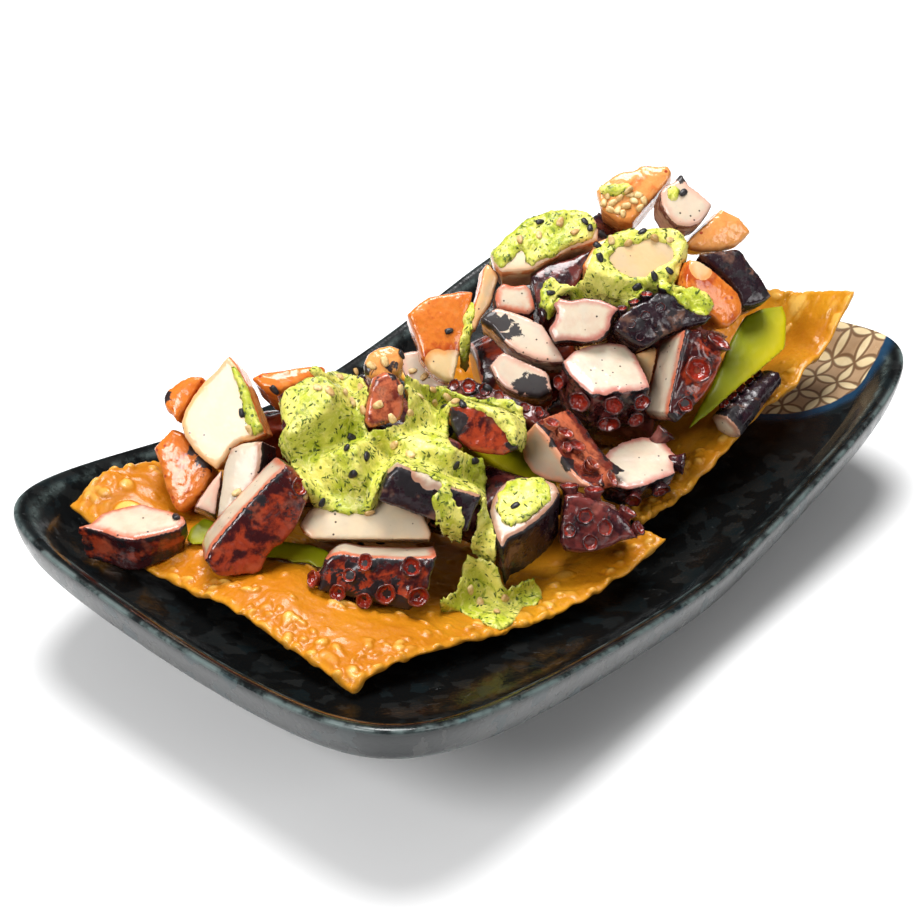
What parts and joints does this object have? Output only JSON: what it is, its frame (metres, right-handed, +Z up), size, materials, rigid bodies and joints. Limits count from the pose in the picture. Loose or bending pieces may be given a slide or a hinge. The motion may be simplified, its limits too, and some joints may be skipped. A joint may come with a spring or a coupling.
{
  "type": "octopus tostada",
  "caption": "Square fried sheets heaped with charred octopus, avocado and green herb sauce, served on a long stoneware plate whose ends sweep up.",
  "frame": {"origin": "centre of the plate on the table, under the foot ring", "axes": "+X along the plate's length towards the more raised sheet, +Y across it away from the side the food is seen from, +Z up"},
  "size_m": [0.2196, 0.1396, 0.0888],
  "materials": {
    "stoneware": null,
    "fried_sheet": "crisp, blistered and slightly oily",
    "octopus_red": "moist, charred red skin and white flesh",
    "octopus_dark": "moist, nearly black charred skin",
    "octopus_orange": "moist orange skin",
    "octopus_pale": "moist pale flesh",
    "avocado": "smooth and buttery",
    "herb_sauce": "creamy, with herb flecks and sesame seeds"
  },
  "bodies": {
    "root": {"avocado_back": "avocado", "avocado_front": "avocado", "avocado_middle": "avocado", "fried_sheet_back": "fried_sheet", "fried_sheet_front": "fried_sheet", "octopus_arm_slice": "octopus_red", "octopus_behind_back": "octopus_red", "octopus_behind_left": "octopus_red", "octopus_behind_mid": "octopus_red", "octopus_big": "octopus_red", "octopus_black_block": "octopus_dark", "octopus_brown_face": "octopus_red", "octopus_centre": "octopus_pale", "octopus_charred_stick": "octopus_pale", "octopus_cream_corner": "octopus_pale", "octopus_cream_top": "octopus_pale", "octopus_dark_mid": "octopus_dark", "octopus_far_back": "octopus_red", "octopus_far_low": "octopus_red", "octopus_front_block": "octopus_red", "octopus_front_log": "octopus_red", "octopus_front_slab": "octopus_red", "octopus_large_suckers": "octopus_red", "octopus_long_wedge": "octopus_pale", "octopus_low_back": "octopus_red", "octopus_low_right": "octopus_red", "octopus_orange_back": "octopus_orange", "octopus_orange_bar": "octopus_orange", "octopus_orange_corner": "octopus_orange", "octopus_orange_side": "octopus_orange", "octopus_orange_slab": "octopus_orange", "octopus_orange_wedge": "octopus_orange", "octopus_pale_base": "octopus_pale", "octopus_pale_fin": "octopus_pale", "octopus_pale_stick": "octopus_dark", "octopus_pink_chunk": "octopus_red", "octopus_pink_sliver": "octopus_pale", "octopus_purple": "octopus_dark", "octopus_salmon_flap": "octopus_orange", "octopus_sauced_arc": "octopus_pale", "octopus_sauced_left": "octopus_red", "octopus_sauced_slice": "octopus_dark", "octopus_small_bit": "octopus_orange", "octopus_small_slice": "octopus_red", "octopus_sucker_chunk": "octopus_red", "octopus_sucker_strip": "octopus_red", "octopus_tentacle": "octopus_red", "octopus_tip": "octopus_dark", "octopus_top": "octopus_orange", "octopus_top_bit": "octopus_orange", "octopus_under_back": "octopus_red", "octopus_under_left": "octopus_red", "octopus_under_mid": "octopus_red", "octopus_white_black": "octopus_pale", "octopus_white_slice": "octopus_red", "plate": "stoneware", "sauce_arc": "herb_sauce", "sauce_back": "herb_sauce", "sauce_front": "herb_sauce", "sauce_puddle": "herb_sauce"}
  },
  "joints": []
}
